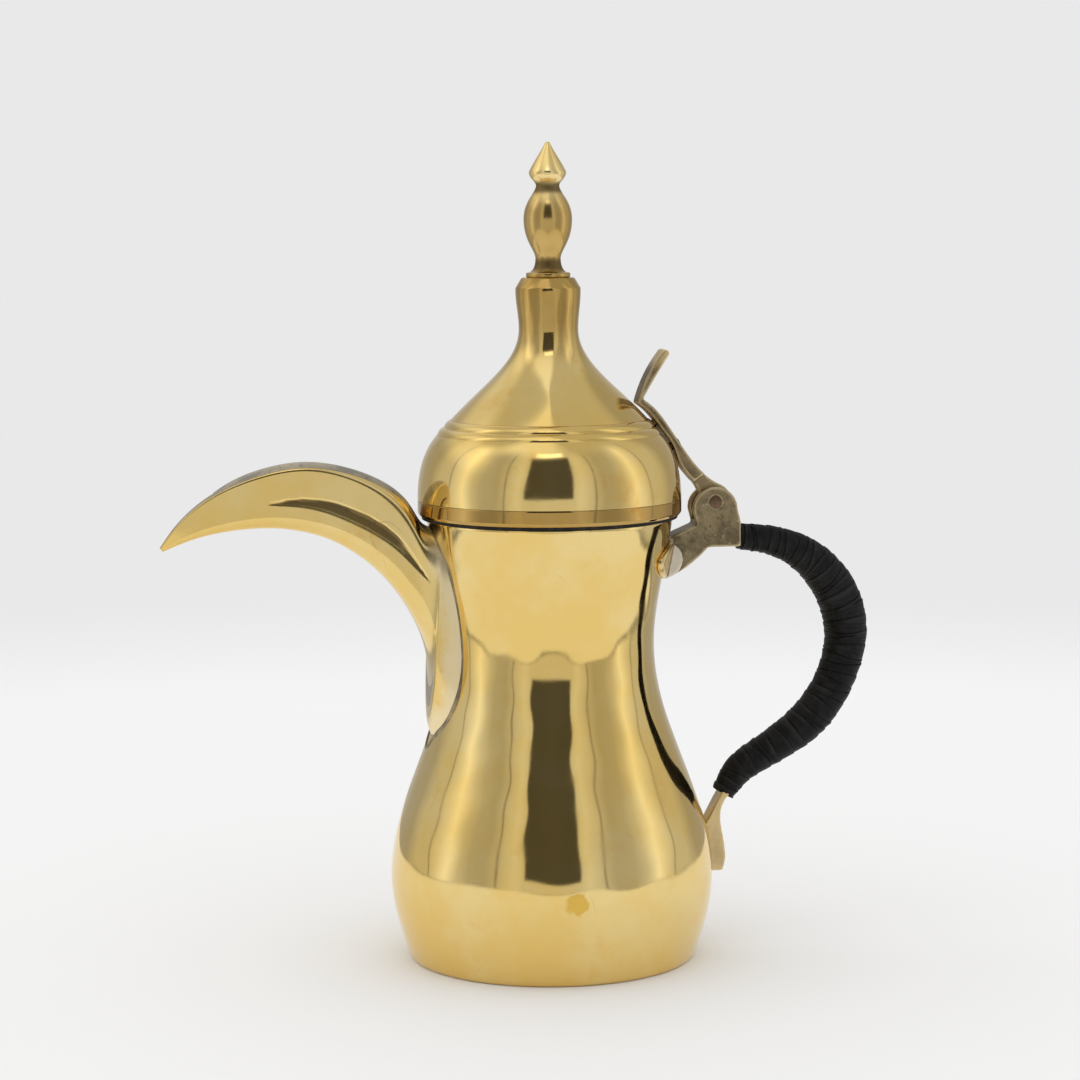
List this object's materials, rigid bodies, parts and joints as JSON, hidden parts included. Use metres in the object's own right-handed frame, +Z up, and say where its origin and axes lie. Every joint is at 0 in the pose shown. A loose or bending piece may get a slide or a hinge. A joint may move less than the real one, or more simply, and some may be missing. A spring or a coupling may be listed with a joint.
{
  "type": "coffee pot",
  "caption": "Brass dallah coffee pot: pear-shaped body, crescent beak spout, leather-wound handle and a hinged bell lid with a turned finial.",
  "frame": {"origin": "middle of the flat underside", "axes": "+Z up along the vessel's axis, -X towards the spout, +X towards the handle; XZ is the mirror plane"},
  "size_m": [0.2622, 0.1192, 0.3],
  "materials": {
    "brass_polished": "hand-polished brass with light tarnish",
    "brass_cast": "dull brown cast brass, filed in places",
    "brass_tinned": "brass greyed by tin solder",
    "brass_pin": "peened reddish pin",
    "leather_black": "worn black leather strip",
    "leather_under": "plain under-winding"
  },
  "bodies": {
    "pot": {"belly_shell": "brass_polished", "neck_shell": "brass_polished", "base_disc": "brass_polished", "spout_beak": "brass_polished", "spout_cover": "brass_tinned", "handle_casting": "brass_cast", "foot_rivets": "brass_cast", "tail_rivet": "brass_cast", "grip_padding": "leather_under", "grip_winding": "leather_black", "hinge_pin": "brass_pin"},
    "lid": {"lid_dome": "brass_polished", "lid_band": "brass_polished", "lid_seat_ring": "brass_tinned", "finial": "brass_polished", "finial_washer": "brass_cast", "finial_nut": "brass_cast", "hinge_strap": "brass_cast", "strap_rivets": "brass_cast"}
  },
  "joints": [
    {"name": "lid_hinge", "type": "hinge", "parent": "pot", "child": "lid", "pos_m": [0.061, 0, 0.168], "axis": [0, 1, 0], "range_deg": [0, 105]}
  ]
}
